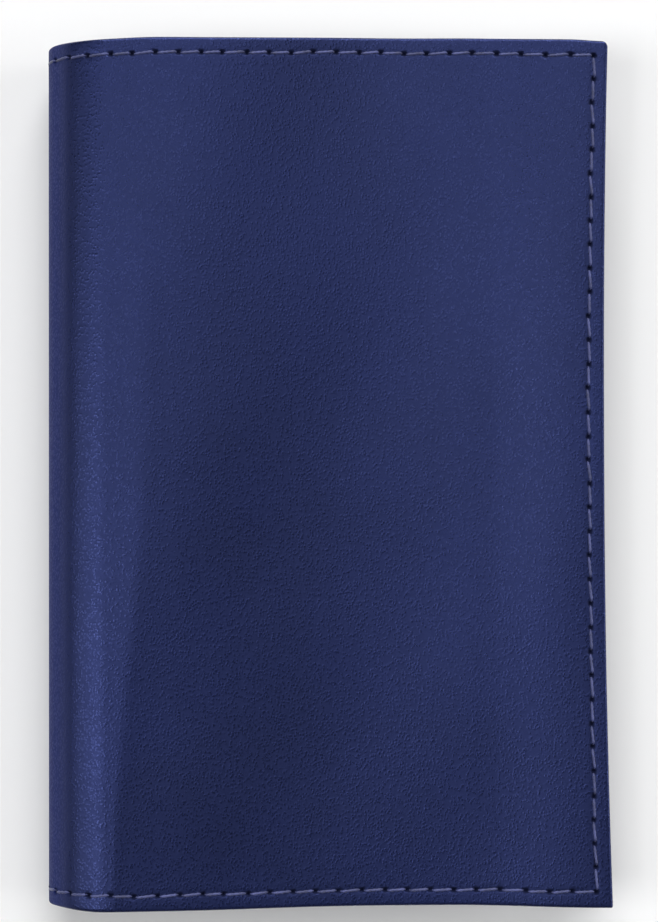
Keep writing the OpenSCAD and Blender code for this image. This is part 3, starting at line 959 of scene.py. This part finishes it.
class WALLET_OT_covers(bpy.types.Operator):
    """Builds the outer leather: one hide over the back, one over the front, meeting at mid-spine"""
    bl_idname = "wallet.covers"
    bl_label = "Leather covers"

    def execute(self, context):
        cover = context.scene.wallet_cover
        corners = (cover.corner_low, cover.corner_high)
        for side, name, body in ((BACK, "back_leather", "back"), (FRONT, "front_leather", "front")):
            window = camera_window() if side == BACK else None
            lines = leather_lines(*window_lines(window)) if window else leather_lines()
            # The punched mark carries the painted shade in the stitch holes, and the rubbed mark carries the
            # painted sheen along mid-spine as well as a rougher finish
            marks = {"punched": lambda s, y, side=side: punch_marks(side, s, y), "rubbed": spine_rub_and_painted_sheen}
            piece = layer_piece(name, side, *lines,
                                lambda s, y, side=side: -leather_relief(side, np.asarray(s), np.asarray(y)),
                                lambda s, y: np.full(np.shape(s), LEATHER_T - HAIR),
                                leather_finishes(), corners, window=window, bulge=0.12, marks=marks)
            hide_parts(body + "_cover_leather", "spine_leather")
            bend_with_spine(piece, body)
        return {"FINISHED"}


class WALLET_OT_linings(bpy.types.Operator):
    """Builds the microsuede linings, which lie on the leather and step over the boards"""
    bl_idname = "wallet.linings"
    bl_label = "Linings"

    def execute(self, context):
        cover = context.scene.wallet_cover
        s_end, y_end = LENGTH - LINING_INSET, HALF_H - LINING_INSET
        steps = (0, 0.1, 0.3, 0.8, 1.8, 3.0, 3.7, 4.0, 4.3, 4.6, 4.9, 5.5)
        for side, name, body in ((BACK, "back_lining_cloth", "back"), (FRONT, "front_lining_cloth", "front")):
            window = camera_window() if side == BACK else None
            s = list(np.arange(0, s_end, 1.6)) + [s_end - d for d in steps]
            s += [QUARTER + d for d in (4.2, 4.5, 4.8, 5.1)]
            y = list(np.arange(-y_end, y_end, 2.0)) + [k * (y_end - d) for d in steps for k in (-1, 1)]
            if window:
                extra_s, extra_y = window_lines(window)
                s, y = s + extra_s, y + extra_y
            piece = layer_piece(name, side, merged(s, 0.05), merged(y, 0.05),
                                lambda s, y: LEATHER_T + BOARD_T * board_share(s, y),
                                lambda s, y: LEATHER_T + BOARD_T * board_share(s, y) + LINING_T - 2 * HAIR,
                                [lining_cloth()], (cover.corner_low,
                                                   cover.corner_high), window=window, bulge=0.05)
            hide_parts(body + "_lining", "spine_lining")
            bend_with_spine(piece, body)
        return {"FINISHED"}


class WALLET_OT_edge_seams(bpy.types.Operator):
    """Sews the edge seams of both covers, stitch by stitch"""
    bl_idname = "wallet.edge_seams"
    bl_label = "Edge seams"

    def execute(self, context):
        for side, name, body in ((BACK, "back_seam", "back"), (FRONT, "front_seam", "front")):
            piece = edge_seam(name, side)
            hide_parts(body + "_stitching", "spine_stitching")
            bend_with_spine(piece, body)
        return {"FINISHED"}


def pocket_piece(name, node, depth, materials, mouth, left_corner):
    """A pocket panel on the front cover's inside. Its mouth stands a little open and has a pressed crease."""
    low, high = box_mm(node)
    middle, half = (low.x + high.x) / 2, (high.x - low.x) / 2
    crease_in, crease_width, crease_depth = 1.4, 0.25, 0.1
    worn_width, worn_depth = 0.2, 0.12
    fall = (0, 0.06, 0.2, 0.5, 0.9, 1.15, 1.4, 1.65, 1.9, 2.4, 3.2, 5, 8)
    x = list(np.arange(low.x, high.x, 2.0)) + [high.x - d for d in fall] + [low.x + d for d in fall]
    y = list(np.arange(low.y, high.y, 2.0)) + [high.y - d for d in fall] + [low.y + d for d in fall]

    def gape(s, y):
        x = s - QUARTER + FOLD_X
        if mouth == "top":
            across = np.clip((x - middle) / half, -1, 1)
            return 0.14 * ease(y, high.y - 18, high.y) * np.cos(across * np.pi / 2) ** 0.8
        up = np.clip(y / high.y, -1, 1)
        return 0.2 * ease(-x, -low.x - 14, -low.x) * np.cos(up * np.pi / 2) ** 0.8

    def crease(s, y):
        x = s - QUARTER + FOLD_X
        from_mouth = high.y - y if mouth == "top" else x - low.x
        return crease_depth * np.exp(-((from_mouth - crease_in) / crease_width) ** 2)

    def worn_edge(s, y):
        x = s - QUARTER + FOLD_X
        edge = np.minimum(np.minimum(high.x - x, x - low.x), np.minimum(high.y - y, y - low.y))
        short = np.clip(1 - edge / worn_width, 0, 1)
        return worn_depth * (1 - np.sqrt(np.maximum(1 - short * short, 0)))

    return layer_piece(name, FRONT, at_x(merged(x, 0.04)), merged(y, 0.04),
                       lambda s, y: depth + HAIR + gape(s, y),
                       lambda s, y: depth + POCKET_T - HAIR + gape(s, y) - crease(s, y) - worn_edge(s, y),
                       materials, (left_corner, left_corner), left_corner=left_corner, bulge=0.05)


class WALLET_OT_cash_pocket(bpy.types.Operator):
    """Builds the full-height cash pocket, open towards the spine"""
    bl_idname = "wallet.cash_pocket"
    bl_label = "Cash pocket"

    def execute(self, context):
        piece = pocket_piece("cash_pocket_panel", "cash_pocket", CASH_D, [lining_cloth()], "spine", 1.5)
        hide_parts("cash_pocket")
        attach(piece, "front")
        return {"FINISHED"}


class WALLET_OT_card_pockets(bpy.types.Operator):
    """Builds the three stepped card pockets"""
    bl_idname = "wallet.card_pockets"
    bl_label = "Card pockets"

    def execute(self, context):
        finishes = [made_once("skived_pocket_leather", skived_leather), leather_finishes()[1]]
        for number in (1, 2, 3):
            node = f"card_pocket_{number}"
            piece = pocket_piece(node + "_panel", node, CASH_D + number * POCKET_T, finishes, "top", 0.8)
            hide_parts(node)
            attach(piece, "front")
        return {"FINISHED"}


def sewn_line(mesh, start, end, depth):
    """Adds a straight row of stitches between two places on the front cover's inside, given as x and y"""
    pitch = bpy.context.scene.wallet_seam.pocket_pitch
    start, end = (np.array([at_x(p[0]), p[1]], float) for p in (start, end))
    count = max(1, round(float(np.linalg.norm(end - start)) / pitch))
    holes = [start + (end - start) * k / count for k in range(count + 1)]
    for a, b in zip(holes[:-1], holes[1:]):
        thread_stitch(FRONT, a, b, depth, -1, POCKET_LEAN, mesh)


class WALLET_OT_pocket_seams(bpy.types.Operator):
    """Sews the pocket panels down"""
    bl_idname = "wallet.pocket_seams"
    bl_label = "Pocket seams"

    def execute(self, context):
        thread = [seam_thread()]
        low, high = box_mm("cash_pocket_stitching")
        half = context.scene.wallet_seam.thread / 2
        depth = CASH_D + POCKET_T
        cash = Layer()
        left, right, top = low.x, high.x - half, high.y - half
        for a, b in (((left, -top), (right, -top)), ((right, -top), (right, top)), ((right, top), (left,
                                                                                                   top))):
            sewn_line(cash, a, b, depth)
        piece = cash.as_piece("cash_pocket_seam", thread, THREAD_SMOOTH)
        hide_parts("cash_pocket_stitching")
        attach(piece, "front")

        low, high = box_mm("card_pocket_stitching")
        left, right, bottom = low.x + half, high.x - half, low.y + half
        mouths = [box_mm(f"card_pocket_{i}")[1].y for i in (3, 2, 1)]
        cards = Layer()
        end_gap = 0.3
        sewn_line(cards, (left, bottom), (right, bottom), depth + 3 * POCKET_T)
        for x in (left, right):
            for step, (a, b) in enumerate(zip([bottom, *mouths[:-1]], mouths)):
                sewn_line(cards, (x, a + end_gap), (x, b - end_gap), depth + (3 - step) * POCKET_T)
        piece = cards.as_piece("card_pocket_seam", thread, THREAD_SMOOTH)
        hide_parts("card_pocket_stitching")
        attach(piece, "front")
        return {"FINISHED"}


def softened_copy(node, name, radius, material):
    """A piece with the shape of a CAD node and its hard edges rounded as a mould leaves them"""
    flat_angle, hard_angle, smooth_angle = (math.radians(v) for v in (0.8, 30, 35))
    shaped = bmesh.new()
    shaped.from_mesh(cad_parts[node].data)
    bmesh.ops.remove_doubles(shaped, verts=shaped.verts, dist=0.001 * MM)
    bmesh.ops.dissolve_limit(shaped, angle_limit=flat_angle, verts=shaped.verts, edges=shaped.edges)
    hard = [e for e in shaped.edges if len(e.link_faces) == 2 and e.calc_face_angle(0) > hard_angle]
    bmesh.ops.bevel(shaped, geom=hard, offset=radius * MM, segments=3, profile=0.5, affect="EDGES",
                    clamp_overlap=True)
    bmesh.ops.triangulate(shaped, faces=[f for f in shaped.faces if len(f.verts) > 4])
    mesh = bpy.data.meshes.new(name)
    shaped.to_mesh(mesh)
    shaped.free()
    if "custom_normal" in mesh.attributes:
        mesh.attributes.remove(mesh.attributes["custom_normal"])
    mesh.materials.clear()
    mesh.materials.append(material)
    mesh.polygons.foreach_set("material_index", [0] * len(mesh.polygons))
    mesh.shade_smooth()
    mesh.set_sharp_from_angle(angle=smooth_angle)
    piece = bpy.data.objects.new(name, mesh)
    bpy.context.scene.collection.objects.link(piece)
    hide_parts(node)
    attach(piece, "back")
    return piece


class WALLET_OT_shell(bpy.types.Operator):
    """Builds the phone shell with its liner, and the bezel of the camera window"""
    bl_idname = "wallet.shell"
    bl_label = "Phone shell"

    def execute(self, context):
        plastic = made_once("moulded_polycarbonate", moulded_polycarbonate)
        flock = made_once("grey_microfibre", lambda: microsuede("grey_microfibre", "#3d4049", 0.35))
        softened_copy("phone_shell", "moulded_shell", 0.3, plastic)
        softened_copy("camera_bezel", "window_bezel", 0.25, plastic)
        liner = softened_copy("shell_liner", "liner_pad", 0.08, flock)
        return {"FINISHED"}


class WALLET_OT_hidden_layers(bpy.types.Operator):
    """Builds the front's board, which follows its cover, and finishes the back's board and the adhesive
    film"""
    bl_idname = "wallet.hidden_layers"
    bl_label = "Boards and adhesive"

    def execute(self, context):
        board = made_once("raw_fibreboard", fibreboard)
        film = made_once("acrylic_adhesive_film", adhesive_film)
        low, high = box_mm("front_board")
        fall = (0, 0.2, 0.6, 1.2, 2.0)
        x = list(np.arange(low.x, high.x, 2.0)) + [low.x + d for d in fall] + [high.x - d for d in fall]
        y = list(np.arange(low.y, high.y, 3.0)) + [k * (high.y - d) for d in fall for k in (-1, 1)]
        piece = layer_piece("front_stiffener", FRONT, at_x(merged(x, 0.1)), merged(y, 0.1),
                            lambda s, y: np.full(np.shape(s), LEATHER_T + HAIR),
                            lambda s, y: np.full(np.shape(s), LEATHER_T + BOARD_T - HAIR),
                            [board], (2, 2), left_corner=2, bulge=0.05)
        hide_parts("front_board")
        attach(piece, "front")
        for node, material in (("back_board", board), ("shell_adhesive", film)):
            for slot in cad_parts[node].material_slots:
                slot.material = material
        return {"FINISHED"}


# Each light: its angles to the left of straight up and towards the top edge, its width and height as seen
# from the case, all in degrees, its brightness and its distance
LIGHTS = (("key", -6, 50, 34, 32, 7.6, 5000), ("side_bank", 35, -5, 60, 20, 2.8, 2000),
          ("side_strip", 21, -6, 5, 22, 6.0, 2000), ("overhead", -4, 12, 20, 20, 2.35, 2000),
          ("fore_rim", -60, 5, 24, 30, 5.0, 2600))
FLOOR_REACH = 3000
VIEW_CENTRE = Vector((0.85, 1.95, CLOSED_T - 2))


def light_panel(name, left, up, width, height, brightness, distance):
    """A soft rectangular panel that faces the case and stays out of the camera's view"""
    left, up, width, height = (math.radians(v) for v in (left, up, width, height))
    lamp = bpy.data.lights.new(name, "AREA")
    lamp.shape = "RECTANGLE"
    lamp.size, lamp.size_y = (2 * distance * MM * math.tan(v / 2) for v in (width, height))
    lamp.energy = brightness * math.pi * lamp.size * lamp.size_y
    light = bpy.data.objects.new(name, lamp)
    bpy.context.scene.collection.objects.link(light)
    towards = Vector((-math.tan(left), math.tan(up), 1)).normalized()
    light.location = (towards * distance + Vector((0, 0, CLOSED_T))) * MM
    across = Vector((1, 0, 0)) - towards * towards.x
    axes = Matrix((across.normalized(), towards.cross(across).normalized(), towards))
    light.rotation_euler = axes.transposed().to_euler()
    light.visible_camera = False


class WALLET_OT_stage(bpy.types.Operator):
    """Lays the pale floor, hangs the lights and sets the camera square over the front cover"""
    bl_idname = "wallet.stage"
    bl_label = "Stage"

    def execute(self, context):
        stage = context.scene.wallet_stage
        material, tree, mm = new_material("matt_paper_sweep")
        fibre = add(tree, "ShaderNodeTexNoise", {"Vector": mm, "Scale": PAPER_CLOUDS, "Detail": 2.0})
        tone = add(tree, "ShaderNodeMapRange", {"Value": fibre.outputs["Fac"], "To Min": 0.985,
                                                "To Max": 1.0})
        paper = add(tree, "ShaderNodeVectorMath", {0: hex_to_linear(stage.floor)[:3],
                                                   "Scale": tone.outputs["Result"]},
                    operation="SCALE")
        shader = add(tree, "ShaderNodeBsdfPrincipled", {
            "Base Color": paper.outputs[0], "Roughness": 0.95, "Specular IOR Level": 0.1})
        add(tree, "ShaderNodeOutputMaterial", {"Surface": shader.outputs["BSDF"]})
        corners = [(x * FLOOR_REACH, y * FLOOR_REACH, -2 * HAIR) for x, y in ((-1, -1), (1, -1), (1, 1), (-1,
                                                                                                          1))]
        new_piece("floor", corners, [(0, 1, 2, 3)], [material])

        world = bpy.data.worlds.new("studio")
        context.scene.world = world
        world.use_nodes = True
        room = world.node_tree.nodes["Background"]
        room.inputs["Color"].default_value = hex_to_linear("#f2f4f8")
        room.inputs["Strength"].default_value = 0.15
        for light in LIGHTS:
            light_panel(*light)

        lens = bpy.data.cameras.new("camera")
        camera = bpy.data.objects.new("camera", lens)
        context.scene.collection.objects.link(camera)
        backward = Vector((0, -math.sin(stage.tilt), math.cos(stage.tilt)))
        camera.location = (VIEW_CENTRE + backward * stage.distance) * MM
        camera.rotation_euler = (stage.tilt, 0, -stage.roll)
        lens.sensor_width = 36
        lens.lens = lens.sensor_width * stage.scale * stage.distance
        context.scene.camera = camera
        context.scene.view_settings.view_transform = "Standard"
        return {"FINISHED"}


class WALLET_PT_panel(bpy.types.Panel):
    """Lists the case's pieces and their settings"""
    bl_label = "Wallet case"
    bl_idname = "WALLET_PT_panel"
    bl_space_type = "VIEW_3D"
    bl_region_type = "UI"
    bl_category = "Wallet case"

    def draw(self, context):
        for step in STEPS:
            self.layout.operator(step.bl_idname)
        for name in SETTINGS:
            group = getattr(context.scene, name)
            column = self.layout.column(heading=group.bl_rna.description)
            for prop in group.bl_rna.properties:
                if prop.identifier not in ("rna_type", "name"):
                    column.prop(group, prop.identifier)


SETTINGS = {"wallet_leather": LeatherSettings, "wallet_cover": CoverSettings, "wallet_seam": SeamSettings,
            "wallet_stage": StageSettings}
STEPS = (WALLET_OT_covers, WALLET_OT_linings, WALLET_OT_edge_seams, WALLET_OT_cash_pocket,
         WALLET_OT_card_pockets,
         WALLET_OT_pocket_seams, WALLET_OT_shell, WALLET_OT_hidden_layers, WALLET_OT_stage)


def register():
    """Adds the settings, the operators and the panel"""
    for cls in (*SETTINGS.values(), *STEPS, WALLET_PT_panel):
        bpy.utils.register_class(cls)
    for name, cls in SETTINGS.items():
        setattr(bpy.types.Scene, name, PointerProperty(type=cls))


def unregister():
    """Takes them away again"""
    for name in SETTINGS:
        delattr(bpy.types.Scene, name)
    for cls in reversed((*SETTINGS.values(), *STEPS, WALLET_PT_panel)):
        bpy.utils.unregister_class(cls)


def main():
    """Builds every piece in order"""
    register()
    for step in STEPS:
        group, action = step.bl_idname.split(".")
        getattr(getattr(bpy.ops, group), action)()


if __name__ == "__main__":
    main()
